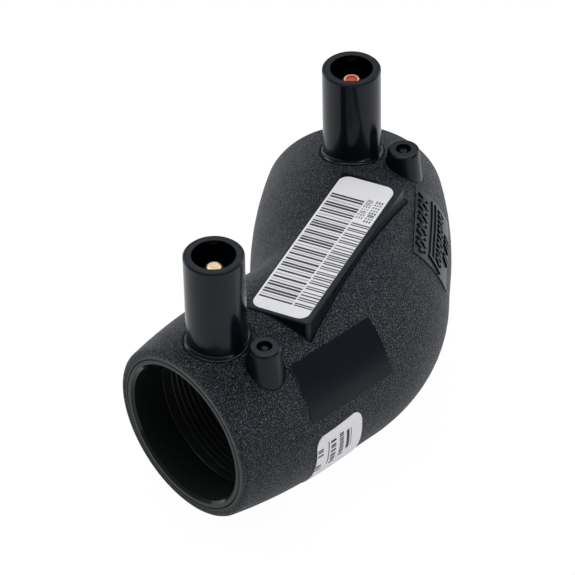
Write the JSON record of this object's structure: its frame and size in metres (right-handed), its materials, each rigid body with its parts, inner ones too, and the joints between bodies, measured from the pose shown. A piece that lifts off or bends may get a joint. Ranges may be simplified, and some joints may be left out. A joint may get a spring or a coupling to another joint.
{
  "type": "electrofusion elbow",
  "caption": "Forty-five degree pipe elbow with wound heating sockets, terminal towers, indicator bosses and a raised label pad.",
  "frame": {"origin": "on the near socket's axis, where its straight bore starts behind the lead-in", "axes": "-Y out of the near socket, +Z along the terminals, the elbow turns towards -X"},
  "size_m": [0.0701, 0.0956, 0.0658],
  "materials": {
    "body": "spark-grained black polyethylene with smooth towers and panels",
    "coil": "smooth black coat fused over the turns",
    "wire": "drawn resistance wire",
    "pin": "turned and bright",
    "marker": "glossy red",
    "indicator": "glossy black",
    "label": "matt white with black print"
  },
  "bodies": {
    "root": {"elbow_body": "body", "heating_coil_near": "coil", "heating_coil_far": "coil", "coil_link": "wire", "terminal_pin_near": "pin", "terminal_pin_far": "pin", "pin_marker_far": "marker", "fusion_indicator_near": "indicator", "fusion_indicator_far": "indicator", "barcode_label": "label", "size_label": "label"}
  },
  "joints": []
}
